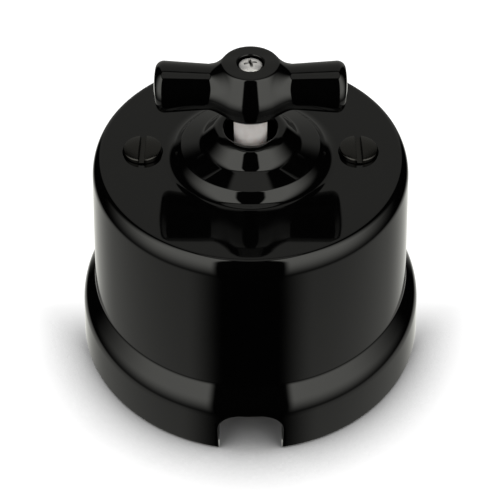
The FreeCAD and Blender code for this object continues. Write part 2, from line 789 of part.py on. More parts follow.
tips = []
clamp_screws = []
foot_screws = []
for corner, (sign_x, sign_y) in CORNERS.items():
    place_x = "%d * contact_offset" % sign_x
    place_y = "%d * terminal_place" % sign_y
    strip_middle = "%d * (contact_inner_end + contact_outer_end) / 2" % sign_y
    strip = block(
        "strip_" + corner, "contact_width", "contact_outer_end - contact_inner_end",
        "contact_thickness", place_x, strip_middle, "contact_level",
    )
    strip_hole = cylinder(
        "strip_hole_" + corner, "foot_screw_radius + loose_clearance", "contact_thickness",
        place_x, place_y, "contact_level",
    )
    name_piece(cut("fixed_contact_" + corner, strip, [strip_hole]), "fixed_contact_" + corner)

    tip = doc.addObject("Part::Cone", "tip_" + corner)
    bind(tip, Radius1="tip_radius", Radius2="tip_radius - tip_height / 2", Height="tip_height")
    tips.append(bind(tip, x=place_x, y="%d * contact_offset" % sign_y, z="terminal_level"))

    body = block(
        "terminal_body_" + corner, "terminal_side", "terminal_side", "terminal_height",
        place_x, place_y, "terminal_level",
    )
    tunnel = cylinder_along_y(
        "tunnel_" + corner, "tunnel_radius", "(terminal_side + %s)" % OVERSHOOT,
        place_x, place_y, "terminal_level + tunnel_height",
    )
    clamp_thread = cylinder(
        "clamp_thread_" + corner, "clamp_screw_radius + fit_clearance", "terminal_height - tunnel_height",
        place_x, place_y, "terminal_level + tunnel_height",
    )
    foot_thread = cylinder(
        "foot_thread_" + corner, "foot_screw_radius + fit_clearance", "foot_screw_bite + fit_clearance",
        place_x, place_y, "terminal_level",
    )
    terminal = cut("terminal_block_" + corner, body, [tunnel, clamp_thread, foot_thread])
    name_piece(terminal, "terminal_block_" + corner)

    head = cylinder(
        "clamp_head_" + corner, "clamp_head_radius", "clamp_head_height",
        place_x, place_y, "terminal_top_level",
    )
    shank = cylinder(
        "clamp_shank_" + corner, "clamp_screw_radius", "clamp_screw_length",
        place_x, place_y, "terminal_top_level - clamp_screw_length",
    )
    slot = block(
        "clamp_slot_" + corner, "screw_slot_width", "2 * clamp_head_radius + %s" % OVERSHOOT,
        "screw_slot_depth", place_x, place_y, "terminal_top_level + clamp_head_height - screw_slot_depth",
    )
    form = fuse("clamp_form_" + corner, [head, shank])
    clamp_screws.append(cut("clamp_screw_" + corner, form, [slot]))

    foot_head = cylinder(
        "foot_head_" + corner, "foot_head_radius", "foot_head_height",
        place_x, place_y, "foot_head_recess - foot_head_height",
    )
    foot_shank = cylinder(
        "foot_shank_" + corner, "foot_screw_radius", "terminal_level + foot_screw_bite - foot_head_recess",
        place_x, place_y, "foot_head_recess",
    )
    foot_screws.append(fuse("foot_screw_" + corner, [foot_head, foot_shank]))
group("contact_tips", tips)
group("terminal_screws", clamp_screws)
group("terminal_foot_screws", foot_screws)


# Detent springs: two flat leaves that press on the square cam

for side, sign in (("left", "-"), ("right", "")):
    leaf = block(
        "detent_spring_" + side, "leaf_thickness", "leaf_length", "leaf_height", sign + "(leaf_place)", "0",
        "cam_level + (cam_height - leaf_height) / 2",
    )
    name_piece(leaf, "detent_spring_" + side)


# Contact carrier: an insulating disc with two riveted brass bridges

carrier_disc = cylinder("carrier_disc", "carrier_radius", "carrier_thickness", z="carrier_level")
drive_hole = block(
    "carrier_drive_hole", "drive_side + 2 * fit_clearance", "drive_side + 2 * fit_clearance",
    "carrier_thickness", z="carrier_level",
)
rivet_holes = [
    cylinder(
        "rivet_hole_" + corner, "rivet_radius + fit_clearance", "carrier_thickness",
        "%d * contact_offset" % sign_x, "%d * rivet_offset" % sign_y, "carrier_level",
    )
    for corner, (sign_x, sign_y) in CORNERS.items()
]
name_piece(cut("contact_carrier", carrier_disc, [drive_hole] + rivet_holes), "contact_carrier")

for side, sign in (("left", -1), ("right", 1)):
    place = "%d * contact_offset" % sign
    strip = block(
        "bridge_strip_" + side, "bridge_width", "bridge_length", "bridge_thickness",
        place, "0", "bridge_level",
    )
    holes = [
        cylinder(
            "bridge_hole_%s_%s" % (side, end), "rivet_radius + fit_clearance", "bridge_thickness",
            place, "%srivet_offset" % end_sign, "bridge_level",
        )
        for end, end_sign in (("front", "-"), ("rear", ""))
    ]
    name_piece(cut("contact_bridge_" + side, strip, holes), "contact_bridge_" + side)

rivets = []
for corner, (sign_x, sign_y) in CORNERS.items():
    place_x = "%d * contact_offset" % sign_x
    place_y = "%d * rivet_offset" % sign_y
    shank = cylinder(
        "rivet_shank_" + corner, "rivet_radius", "carrier_thickness + bridge_thickness",
        place_x, place_y, "bridge_level",
    )
    head = cylinder(
        "rivet_head_" + corner, "rivet_head_radius", "rivet_head_height",
        place_x, place_y, "carrier_top_level",
    )
    rivets.append(fuse("rivet_" + corner, [shank, head]))
group("bridge_rivets", rivets)


# Contact spring, wound from square wire: presses the carrier down on the fixed contacts

coil = doc.addObject("Part::Helix", "contact_spring_path")
coil_height = "spring_gap - spring_wire"
bind(coil, Height=coil_height, Pitch="(%s) / spring_turns" % coil_height, Radius="spring_mean_radius")
wire = doc.addObject("Part::RegularPolygon", "contact_spring_wire")
wire.Polygon = 4
upright = FreeCAD.Rotation(Vector(1, 0, 0), 90)
wire.Placement.Rotation = upright.multiply(FreeCAD.Rotation(Vector(0, 0, 1), 45))
bind(wire, Circumradius="spring_wire / sqrt(2)", x="spring_mean_radius")
spring = doc.addObject("Part::Sweep", "contact_spring")
spring.Sections = [wire]
spring.Spine = (coil, [])
spring.Solid = True
spring.Frenet = True
bind(spring, z="carrier_top_level + spring_wire / 2")
name_piece(spring, "contact_spring")


# Spindle: white moulded nylon, with its pivot, square drive, square cam, journal and shaft

spindle_pieces = [
    cylinder("spindle_pivot", "pivot_radius", "bridge_level - pivot_level", z="pivot_level"),
    block("spindle_drive", "drive_side", "drive_side", "cam_level - bridge_level", z="bridge_level"),
    cylinder(
        "spindle_journal", "journal_radius", "boss_top_level + axial_play - cam_top_level",
        z="cam_top_level",
    ),
    cylinder(
        "spindle_shaft", "shaft_radius", "knob_drive_level - cam_top_level - fit_clearance",
        z="cam_top_level",
    ),
    block(
        "spindle_knob_drive", "knob_drive_side", "knob_drive_side", "knob_drive_length",
        z="knob_drive_level - fit_clearance",
    ),
]
cam = doc.addObject("Part::Common", "spindle_cam")
cam.Base = block("cam_square", "cam_side", "cam_side", "cam_height", z="cam_level")
cam.Tool = cylinder("cam_corners", "cam_corner_radius", "cam_height", z="cam_level")
knob_thread_depth = "knob_screw_bite + fit_clearance"
knob_thread = cylinder(
    "spindle_thread", "knob_screw_radius + fit_clearance", "%s + %s" % (knob_thread_depth, OVERSHOOT),
    z="spindle_top_level - (%s)" % knob_thread_depth,
)
name_piece(cut("spindle", fuse("spindle_form", spindle_pieces + [cam]), [knob_thread]), "spindle")


# Knob: black glazed porcelain, a bell-shaped hub with two arms, socketed on the spindle

knob = start_body("knob")
hub = start_sketch(knob, "hub_sketch", "XZ_Plane")
draw(hub, [
    ("0", "knob_level"),
    ("hub_foot_radius", "knob_level"),
    ("hub_belly_radius", "knob_level + hub_belly_height"),
    ("hub_top_radius", "hub_top_level"),
    ("0", "hub_top_level"),
])
revolve(knob, "hub", hub)
round_edges(knob, "belly", "hub_belly_round", circle_at("hub_belly_radius", "knob_level + hub_belly_height"))
arms = start_sketch(knob, "arms_sketch", "XZ_Plane")
arms.setExpression("AttachmentOffset.Base.y", bound("arm_level"))
crown_radius = "(arm_end_radius ^ 2 + arm_crown ^ 2) / (2 * arm_crown)"
draw(arms, [
    ("-arm_reach", "0"),
    ("arm_reach", "0"),
    ("arm_reach - arm_crown", "arm_end_radius"),
    ("arm_waist_place", "arm_waist_radius"),
    ("-arm_waist_place", "arm_waist_radius"),
    ("arm_crown - arm_reach", "arm_end_radius"),
], arcs={1: crown_radius, 5: crown_radius})
revolve(knob, "arms", arms, "H_Axis")


def is_arm_end(edge):
    """The circle where an arm's flare meets its domed end."""
    box = edge.BoundBox
    flat = near(abs(box.XMin), "arm_reach - arm_crown") and near(abs(box.XMax), "arm_reach - arm_crown")
    return flat and near(box.YMax, "arm_end_radius")


round_edges(knob, "arm_ends", "arm_end_round", is_arm_end)
round_edges(knob, "hub_rim", "hub_top_round", circle_at("hub_top_radius", "hub_top_level"))


def is_junction(edge):
    """The curves on one side of the hub where an arm runs into it."""
    box = edge.BoundBox
    one_side = box.XMin * box.XMax > 0
    return one_side and box.YLength > 0.5 and max(-box.XMin, box.XMax) < measure("arm_reach / 2")


round_edges(knob, "junctions", "knob_fillet", is_junction)

socket = start_sketch(knob, "socket_sketch", "XY_Plane", "knob_level")
draw_circle(socket, "shaft_radius + fit_clearance")
pocket(knob, "socket", socket, "knob_socket_depth", forward=True)
half_drive = "knob_drive_side / 2 + fit_clearance"
drive = start_sketch(knob, "drive_sketch", "XY_Plane", "knob_level")
draw_box(drive, "-(%s)" % half_drive, "-(%s)" % half_drive, half_drive, half_drive)
pocket(knob, "drive", drive, "knob_socket_depth + knob_drive_length + fit_clearance", forward=True)
recess = start_sketch(knob, "recess_sketch", "XY_Plane", "hub_top_level")
pocket(knob, "recess", draw_circle(recess, "knob_recess_radius"), "knob_head_recess")
hole = start_sketch(knob, "screw_hole_sketch", "XY_Plane", "hub_top_level")
pocket(knob, "screw_hole", draw_circle(hole, "knob_screw_radius + loose_clearance"), "hub_height")


# Knob screw: bright steel, with a rounded head and a cross recess

screw_form = slotted_screw(
    "knob_screw_form", "knob_head_radius", "knob_head_side", "knob_head_crown", "knob_screw_radius",
    "knob_seat_level - spindle_top_level + knob_screw_bite", "knob_seat_level",
)
cross_level = "knob_seat_level + knob_head_side + knob_head_crown - cross_slot_depth"
cross_height = "cross_slot_depth + %s" % OVERSHOOT
cross = [
    block("knob_cross_x", "cross_slot_length", "cross_slot_width", cross_height, z=cross_level),
    block("knob_cross_y", "cross_slot_width", "cross_slot_length", cross_height, z=cross_level),
]
name_piece(cut("knob_screw", screw_form, cross), "knob_screw")


# Every object is sound before anything is written

doc.recompute()
for thing in doc.Objects:
    faults = {"Invalid", "Error"} & set(thing.State)
    if faults:
        raise RuntimeError("%s is %s" % (thing.Label, ", ".join(sorted(faults))))
for piece in nodes:
    if piece.Shape.isNull() or not piece.Shape.isValid() or not piece.Shape.Solids:
        raise RuntimeError(piece.Label + " has no sound solid")

os.makedirs("parts", exist_ok=True)
for piece in nodes:
    piece.Shape.exportStep("parts/%s.step" % piece.Label)
print("%d nodes written" % len(nodes))
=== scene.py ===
import math

import bmesh
import bpy
import numpy as np
from mathutils import Matrix, Vector


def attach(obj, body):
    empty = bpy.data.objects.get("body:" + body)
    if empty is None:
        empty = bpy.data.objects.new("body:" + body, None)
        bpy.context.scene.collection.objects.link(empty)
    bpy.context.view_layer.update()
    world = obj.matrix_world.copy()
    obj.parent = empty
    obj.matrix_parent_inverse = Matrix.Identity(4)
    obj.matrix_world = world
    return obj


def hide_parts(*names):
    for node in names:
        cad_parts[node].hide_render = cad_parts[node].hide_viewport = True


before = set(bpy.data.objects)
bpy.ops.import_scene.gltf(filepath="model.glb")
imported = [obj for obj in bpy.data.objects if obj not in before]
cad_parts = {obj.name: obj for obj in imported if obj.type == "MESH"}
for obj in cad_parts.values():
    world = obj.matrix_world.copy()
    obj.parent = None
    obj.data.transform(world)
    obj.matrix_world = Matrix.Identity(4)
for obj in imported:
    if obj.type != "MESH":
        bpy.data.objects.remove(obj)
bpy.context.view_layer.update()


# ---------------------------------------------------------------------------
# Camera: the photograph looks down on the front of the switch at about 46
# degrees, from 21 cm, with the cable notch towards the viewer.

MM = 0.001
CAMERA_PLACE = Vector((0.0, -146.97, 172.2)) * MM
CAMERA_AIM = Vector((0.0, 0.0, 18.62)) * MM

camera_data = bpy.data.cameras.new("camera")
camera_data.sensor_width = 36.0
camera_data.lens = 76.44
camera_data.shift_x = -0.0011
camera_data.clip_start = 0.01
camera = bpy.data.objects.new("camera", camera_data)
camera.location = CAMERA_PLACE
camera.rotation_euler = (CAMERA_AIM - CAMERA_PLACE).to_track_quat("-Z", "Y").to_euler()
bpy.context.scene.collection.objects.link(camera)
bpy.context.scene.camera = camera
bpy.context.scene.view_settings.view_transform = "Standard"


# ---------------------------------------------------------------------------
# Studio: matt white paper, with two tall softboxes, a grey screen and a grey
# cloth above that light the matt surfaces. Round it all stands a light tent,
# and that is what the glossy surfaces mirror.

def linear(hex_colour):
    """An sRGB hex colour as the linear RGBA that a shader takes."""
    channels = [int(hex_colour[i:i + 2], 16) / 255.0 for i in (1, 3, 5)]
    return tuple(c / 12.92 if c <= 0.04045 else ((c + 0.055) / 1.055) ** 2.4 for c in channels) + (1.0,)


def add_node(tree, kind, settings=None, links=None, **inputs):
    """Adds one node, with its settings, its input values and the sockets linked to its inputs."""
    node = tree.nodes.new(kind)
    for name, value in (settings or {}).items():
        setattr(node, name, value)
    for name, value in inputs.items():
        node.inputs[name.replace("_", " ")].default_value = value
    for name, socket in (links or {}).items():
        tree.links.new(socket, node.inputs[name])
    return node


def new_material(name):
    """An empty node material and the output node that its shader goes to."""
    material = bpy.data.materials.new(name)
    material.use_nodes = True
    material.node_tree.nodes.clear()
    return material, material.node_tree, add_node(material.node_tree, "ShaderNodeOutputMaterial")


def colour_ramp(tree, socket, stops):
    """The colour that a socket's value picks from stops, each a place and an RGBA colour."""
    ramp = add_node(tree, "ShaderNodeValToRGB", links={"Fac": socket})
    elements = ramp.color_ramp.elements
    while len(elements) < len(stops):
        elements.new(1.0)
    for element, (place, colour) in zip(elements, stops):
        element.position = place
        element.color = colour
    return ramp.outputs[0]


def grey(level):
    """A neutral linear RGBA colour."""
    return (level, level, level, 1.0)


def computed(tree, operation, *terms):
    """The outcome of one step of arithmetic on sockets and plain numbers."""
    node = add_node(tree, "ShaderNodeMath", {"operation": operation})
    for socket, term in zip(node.inputs, terms):
        if isinstance(term, float):
            socket.default_value = term
        else:
            tree.links.new(term, socket)
    return node.outputs[0]


def mesh_object(name, points, faces, material=None):
    """A mesh object at the origin, from points in millimetres."""
    mesh = bpy.data.meshes.new(name)
    mesh.from_pydata([tuple(c * MM for c in p) for p in points], [], faces)
    mesh.update()
    piece = bpy.data.objects.new(name, mesh)
    bpy.context.scene.collection.objects.link(piece)
    if material:
        mesh.materials.append(material)
    return piece


def ring_faces(rings, count):
    """The faces between closed rings of points that follow one another, all of the same count."""
    faces = []
    for start in range(0, (rings - 1) * count, count):
        for i in range(count):
            j = (i + 1) % count
            faces.append((start + i, start + j, start + count + j, start + count + i))
    return faces


def ring_panel(name, material, radius, from_azimuth, to_azimuth, low, high):
    """A curved upright panel round the object; azimuth 0 is the camera's side."""
    steps = 12
    points = []
    for step in range(steps + 1):
        turn = math.radians(from_azimuth + (to_azimuth - from_azimuth) * step / steps)
        across, along = radius * math.sin(turn), -radius * math.cos(turn)
        points += [(across, along, low), (across, along, high)]
    faces = [(2 * i, 2 * i + 1, 2 * i + 3, 2 * i + 2) for i in range(steps)]
    return mesh_object(name, points, faces, material)


def sheet(name, material, half_width, front, back, level):
    """A flat level sheet."""
    corners = [(-half_width, front, level), (half_width, front, level),
               (half_width, back, level), (-half_width, back, level)]
    return mesh_object(name, corners, [(0, 1, 2, 3)], material)


def glowing(name, strength):
    """A surface that gives off an even white light."""
    material, tree, output = new_material(name)
    glow = add_node(tree, "ShaderNodeEmission", Strength=strength)
    tree.links.new(glow.outputs[0], output.inputs["Surface"])
    return material


# The object stands on matt white paper. The camera sees the paper as white, with a painted shade: the white
# that it gives off is darker close to the object, by ambient occlusion, where less light would reach it. From the
# object's middle backwards the paper stays white.
SHADE_REACH = 30.0
SHADE_STOPS = [(0.45, 0.0), (0.62, 0.2), (0.72, 0.45), (0.82, 0.8), (0.9, 0.97)]
WHITE_FROM = -16.0
WHITE_FULL = 8.0
floor_material, tree, output = new_material("matt white paper")
path = add_node(tree, "ShaderNodeLightPath")
open_sky = add_node(tree, "ShaderNodeAmbientOcclusion", Distance=SHADE_REACH * MM)
# Painted shade: the white that the camera sees is darkened by ambient occlusion near the object.
shade = colour_ramp(tree, open_sky.outputs["AO"], [(place, grey(level)) for place, level in SHADE_STOPS])
spot = add_node(tree, "ShaderNodeTexCoord")
ahead = add_node(tree, "ShaderNodeSeparateXYZ", links={"Vector": spot.outputs["Object"]})
behind = add_node(tree, "ShaderNodeMapRange", {"interpolation_type": "SMOOTHSTEP"},
                  links={"Value": ahead.outputs["Y"]}, From_Min=WHITE_FROM * MM, From_Max=WHITE_FULL * MM)
white_with_painted_shade = computed(tree, "MAXIMUM", shade, behind.outputs[0])
paper = add_node(tree, "ShaderNodeBsdfDiffuse", Color=linear("#909090"))
white = add_node(tree, "ShaderNodeEmission", links={"Color": white_with_painted_shade, "Strength": path.outputs["Is Camera Ray"]})
both = add_node(tree, "ShaderNodeAddShader", links={0: paper.outputs[0], 1: white.outputs[0]})
tree.links.new(both.outputs[0], output.inputs["Surface"])
FLOOR_HALF = 2500.0
FLOOR_LEVEL = -0.02
floor = sheet("floor", floor_material, FLOOR_HALF, -FLOOR_HALF, FLOOR_HALF, FLOOR_LEVEL)

# Painted shade: a nearly black sheet, seen only in reflections, lies under the cover, so that the walls of the
# notch mirror a dark patch where hardly any light reaches the paper under the cover.
SHADE_RADIUS = 33.0
SHADE_CORNERS = 36
corners = [math.radians(360.0 * k / SHADE_CORNERS) for k in range(SHADE_CORNERS)]
painted_shade_disc = mesh_object(
    "shade_under_cover",
    [(SHADE_RADIUS * math.cos(a), SHADE_RADIUS * math.sin(a), 2 * FLOOR_LEVEL) for a in corners],
    [tuple(range(SHADE_CORNERS))], glowing("painted shade sheet", 0.02))
painted_shade_disc.visible_camera = False
painted_shade_disc.visible_diffuse = False

# Two softboxes stand left and right, a grey screen behind and a grey cloth above.
SOFTBOX_RADIUS = 500.0
SCREEN_RADIUS = 550.0
softbox_cloth = glowing("softbox cloth", 2.0)
softboxes = [ring_panel("softbox_" + side, softbox_cloth, SOFTBOX_RADIUS,
                        from_azimuth=sign * 24.0, to_azimuth=sign * 100.0, low=60.0, high=1370.0)
             for side, sign in (("left", -1), ("right", 1))]
grey_cloth = glowing("grey cloth", 0.3)
screen = ring_panel("back_screen", grey_cloth, SCREEN_RADIUS,
                    from_azimuth=100.0, to_azimuth=260.0, low=0.0, high=615.0)
ceiling = sheet("ceiling", grey_cloth, half_width=1500.0, front=-320.0, back=1170.0, level=1500.0)

# All of it stands in a light tent, a ball of cloth, whose inside is what the glaze and the metals mirror.
# Each patch of light on it is a pair of angles from the camera's side between which it fades in, a pair
# between which it fades out, the same for its height, all in degrees, and its brightness.
TENT_RADIUS = 1500.0
TENT_MIDDLE = 30.0
TENT_STEP = 3
EVER_IN = (-20.0, -10.0)
EVER_OUT = (190.0, 200.0)
UP_FROM_BELOW = (-110.0, -100.0)
SIDE_BOXES = ((20.0, 25.0), (55.0, 110.0), (-35.0, 15.0), (71.0, 75.0), 1.9)
NEAR_PAPER = ((18.0, 45.0), EVER_OUT, UP_FROM_BELOW, (-36.0, -28.0), 0.35)
FAR_PAPER = ((110.0, 180.0), EVER_OUT, UP_FROM_BELOW, (-40.0, -25.0), 0.8)
BACK_SCREEN = ((140.0, 150.0), EVER_OUT, (-30.0, -10.0), (66.0, 72.0), 0.3)
TOP_CLOTH = (EVER_IN, EVER_OUT, (73.0, 76.0), (100.0, 110.0), 0.45)
TENT_LAMPS = [SIDE_BOXES, NEAR_PAPER, FAR_PAPER, BACK_SCREEN, TOP_CLOTH]
# A dark seam runs round the front and the sides under the top cloth, at these heights in degrees.
TENT_SEAM = [(0, 73), (100, 73), (115, 90), (180, 90)]
TENT_SEAM_HALF = 2.0
TENT_SEAM_SOFT = 1.2
RIGHT_ANGLE = 90.0
tent_cloth, tree, output = new_material("light tent cloth")
place = add_node(tree, "ShaderNodeTexCoord")
axes = add_node(tree, "ShaderNodeSeparateXYZ", links={0: place.outputs["Object"]})
aside = computed(tree, "ABSOLUTE", axes.outputs["X"])
ahead = computed(tree, "MULTIPLY", axes.outputs["Y"], -1.0)
half_turns = computed(tree, "DIVIDE", computed(tree, "ARCTAN2", aside, ahead), math.pi)
raised = computed(tree, "SUBTRACT", axes.outputs["Z"], TENT_MIDDLE * MM)
angle_up = computed(tree, "ARCSINE", computed(tree, "DIVIDE", raised, TENT_RADIUS * MM))


def levels_round(stops, most):
    """Levels over the angle from the camera's side, as shares of the most that they reach."""
    return colour_ramp(tree, half_turns, [(angle / 180.0, grey(level / most)) for angle, level in stops])


def fading(value, pair, first, last):
    """A smooth change from the first level to the last, while a value passes between a pair of them."""
    fade = add_node(tree, "ShaderNodeMapRange", {"interpolation_type": "SMOOTHSTEP"}, links={"Value": value},
                    From_Min=math.radians(pair[0]), From_Max=math.radians(pair[1]),
                    To_Min=first, To_Max=last)
    return fade.outputs[0]


angle_round = computed(tree, "MULTIPLY", half_turns, math.pi)
brightness = None
for side_in, side_out, height_in, height_out, strength in TENT_LAMPS:
    across = computed(tree, "MULTIPLY", fading(angle_round, side_in, 0.0, strength),
                      fading(angle_round, side_out, 1.0, 0.0))
    upright = computed(tree, "MULTIPLY", fading(angle_up, height_in, 0.0, 1.0),
                       fading(angle_up, height_out, 1.0, 0.0))
    patch = computed(tree, "MULTIPLY", across, upright)
    brightness = patch if brightness is None else computed(tree, "ADD", brightness, patch)
seam_height = computed(tree, "MULTIPLY", levels_round(TENT_SEAM, RIGHT_ANGLE), math.radians(RIGHT_ANGLE))
off_seam = computed(tree, "ABSOLUTE", computed(tree, "SUBTRACT", angle_up, seam_height))
clear = add_node(tree, "ShaderNodeMapRange", {"interpolation_type": "SMOOTHSTEP"}, links={"Value": off_seam},
                 From_Min=math.radians(TENT_SEAM_HALF - TENT_SEAM_SOFT),
                 From_Max=math.radians(TENT_SEAM_HALF + TENT_SEAM_SOFT))
warm = add_node(tree, "ShaderNodeMix", {"data_type": "RGBA", "blend_type": "MULTIPLY"},
                links={6: brightness}, Factor=1.0)
warm.inputs[7].default_value = linear("#FFFFF8")
cloth = add_node(tree, "ShaderNodeEmission", links={"Color": warm.outputs[2], "Strength": clear.outputs[0]})
tree.links.new(cloth.outputs[0], output.inputs["Surface"])
points = []
for height in range(-90, 91, TENT_STEP):
    around = TENT_RADIUS * math.cos(math.radians(height))
    level = TENT_MIDDLE + TENT_RADIUS * math.sin(math.radians(height))
    for turn in range(0, 360, TENT_STEP):
        points.append((around * math.sin(math.radians(turn)), -around * math.cos(math.radians(turn)), level))
tent = mesh_object("light_tent", points, ring_faces(180 // TENT_STEP + 1, 360 // TENT_STEP), tent_cloth)
tent.visible_camera = False
tent.visible_diffuse = False
tent.visible_shadow = False
for lamp in softboxes + [screen, ceiling]:
    lamp.visible_camera = False
    lamp.visible_glossy = False
floor.visible_glossy = False

# The world gives no light. Only the camera sees it, as white.
world = bpy.data.worlds.new("studio")
world.use_nodes = True
bpy.context.scene.world = world
tree = world.node_tree
tree.nodes.clear()
path = add_node(tree, "ShaderNodeLightPath")
room = add_node(tree, "ShaderNodeBackground", Color=(1.0, 1.0, 1.0, 1.0), Strength=0.0)
paper_white = add_node(tree, "ShaderNodeBackground", Color=(1.0, 1.0, 1.0, 1.0), Strength=1.0)
mix = add_node(tree, "ShaderNodeMixShader",
               links={0: path.outputs["Is Camera Ray"], 1: room.outputs[0], 2: paper_white.outputs[0]})
tree.links.new(mix.outputs[0], add_node(tree, "ShaderNodeOutputWorld").inputs["Surface"])


# ---------------------------------------------------------------------------
# Base: a thick disc of white glazed porcelain, hidden under the cover. It is
# pressed and fired, and it carries the mechanism and the cover's two pillars.

def finish_node(names, material):
    """Gives CAD nodes, whose shape is right, the material of the real part."""
    for name in names:
        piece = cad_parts[name]
        piece.data.materials.clear()
        piece.data.materials.append(material)


def grained(tree, grain, roughness, dark, light):
    """A fine uneven grain of the given size in millimetres, and the tone that it shifts between two colours."""
    place = add_node(tree, "ShaderNodeTexCoord")
    noise = add_node(tree, "ShaderNodeTexNoise", Scale=1.0 / (grain * MM), Detail=3.0, Roughness=roughness,
                     links={"Vector": place.outputs["Object"]})
    return noise.outputs[0], colour_ramp(tree, noise.outputs[0], [(0.3, dark), (0.7, light)])


def smooth_skin(name, light, dark, roughness, grain, bump, coat=0.0, scatter=0.0):
    """A moulded or fired surface: two close tones, an even gloss and a faint relief; grain and bump in mm."""
    material, tree, output = new_material(name)
    noise, tint = grained(tree, grain, 0.55, linear(dark), linear(light))
    relief = add_node(tree, "ShaderNodeBump", Strength=0.1, Distance=bump * MM, links={"Height": noise})
    shader = add_node(tree, "ShaderNodeBsdfPrincipled", Roughness=roughness, IOR=1.5, Coat_Weight=coat,
                      Subsurface_Weight=scatter, Subsurface_Radius=(0.0012, 0.0010, 0.0009),
                      Subsurface_Scale=1.0, links={"Base Color": tint, "Normal": relief.outputs[0]})
    tree.links.new(shader.outputs[0], output.inputs["Surface"])
    return material


# White porcelain: a clear gloss glaze over a slightly warm body, with a very faint waviness.
white_glaze = smooth_skin("white glazed porcelain", "#F1EFE8", "#E6E3DA", 0.14, 6.0, 0.2, coat=0.4)
finish_node(["base"], white_glaze)


# ---------------------------------------------------------------------------
# Mechanism mouldings: body, cap and contact carrier, pressed from phenolic
# resin. Body and cap are screwed to the base, and the carrier turns inside.

# Phenolic resin: dark brown with fine paler filler, and the dull sheen of a hot mould.
phenolic = smooth_skin("brown phenolic resin", "#3A2A22", "#2C201A", 0.38, 0.4, 0.1)
finish_node(["mechanism_body", "mechanism_cap", "contact_carrier"], phenolic)


# ---------------------------------------------------------------------------
# Fixed contacts and bridges: blades punched and bent from brass strip. Four
# are held by the terminal blocks, and two ride on the carrier.

def metal(name, colour, roughness, grain, wear, metallic=1.0):
    """A metal finish: its colour, its gloss, and a fine uneven grain of the given size in millimetres."""
    material, tree, output = new_material(name)
    base = linear(colour)
    noise, tint = grained(tree, grain, 0.6, tuple(c * (1.0 - wear) for c in base[:3]) + (1.0,), base)
    rough = add_node(tree, "ShaderNodeMapRange", links={"Value": noise},
                     To_Min=max(roughness - wear, 0.02), To_Max=roughness + wear)
    relief = add_node(tree, "ShaderNodeBump", Strength=0.12, Distance=0.02 * MM, links={"Height": noise})
    shader = add_node(tree, "ShaderNodeBsdfPrincipled", Metallic=metallic, links={
        "Base Color": tint, "Roughness": rough.outputs[0], "Normal": relief.outputs[0]})
    tree.links.new(shader.outputs[0], output.inputs["Surface"])
    return material


# Brass strip: yellow and evenly rolled, with a slightly dull skin.
brass_strip = metal("rolled brass strip", "#D2AA5C", 0.34, 0.5, 0.08)
CORNERS = ["front_left", "front_right", "rear_left", "rear_right"]
finish_node(["contact_bridge_left", "contact_bridge_right"] + ["fixed_contact_" + c for c in CORNERS],
            brass_strip)


# ---------------------------------------------------------------------------
# Contact tips: small domed buttons of silver alloy, riveted into the blades
# and the bridges where the current is made and broken.

# Silver alloy: nearly white, with the soft gloss of a coined face.
silver = metal("silver alloy", "#E4E3E0", 0.3, 0.2, 0.06)
finish_node(["contact_tips"], silver)


# ---------------------------------------------------------------------------
# Terminal blocks, their foot screws, the bridge rivets and the cover's two
# pillars: turned and milled brass. The blocks and pillars stand on the base.

# Turned brass: bright yellow, with a fine grain left by the tool.
turned_brass = metal("turned brass", "#D8B468", 0.28, 0.25, 0.07)
finish_node(["cover_pillars", "bridge_rivets", "terminal_foot_screws"] + ["terminal_block_" + c for c in CORNERS],
            turned_brass)


# ---------------------------------------------------------------------------
# Springs: two bent detent blades, which click against the spindle's square,
# and the wire spring that presses the bridges on the contacts.

# Spring steel: cool grey and smooth from drawing, glossier than plated steel.
spring_steel = metal("spring steel", "#9FA2A6", 0.26, 0.3, 0.05)
finish_node(["detent_spring_left", "detent_spring_right", "contact_spring"], spring_steel)


# ---------------------------------------------------------------------------
# Hidden screws and nuts: zinc plated steel. They clamp the wires, hold the
# mechanism's two mouldings together, and fix the pillars from below.

# Zinc plate: pale bluish grey, with a fine crystalline dullness.
zinc = metal("zinc plated steel", "#C6CACD", 0.32, 0.3, 0.08)
finish_node(["pillar_screws", "mechanism_screws", "mechanism_nuts", "terminal_screws"], zinc)


# ---------------------------------------------------------------------------
# Bell cover: slip-cast porcelain under a black gloss glaze. A plain rim, a
# soft shoulder and a drum, with a ring, a shallow dish and a turret round the
# spindle moulded on its slightly hollow lid, and a cable notch in the rim.

def arc_corner(before, corner, after, radius, step=4.0):
    """The points of the arc that rounds one corner of a profile."""
    a = np.subtract(before, corner)
    b = np.subtract(after, corner)
    a_length, b_length = np.hypot(*a), np.hypot(*b)
    a, b = a / a_length, b / b_length
    half = math.acos(max(-1.0, min(1.0, float(a @ b)))) / 2
    reach = radius / math.tan(half)
    middle = (a + b) / np.linalg.norm(a + b)
    centre = np.add(corner, middle * radius / math.sin(half))
    start = np.add(corner, a * reach) - centre
    end = np.add(corner, b * reach) - centre
    turn = math.atan2(start[0] * end[1] - start[1] * end[0], float(start @ end))
    fewest = 8
    count = max(fewest, math.ceil(abs(math.degrees(turn)) / step))
    points = []
    for k in range(count + 1):
        angle = turn * k / count
        c, s = math.cos(angle), math.sin(angle)
        points.append((centre[0] + c * start[0] - s * start[1], centre[1] + s * start[0] + c * start[1]))
    return points


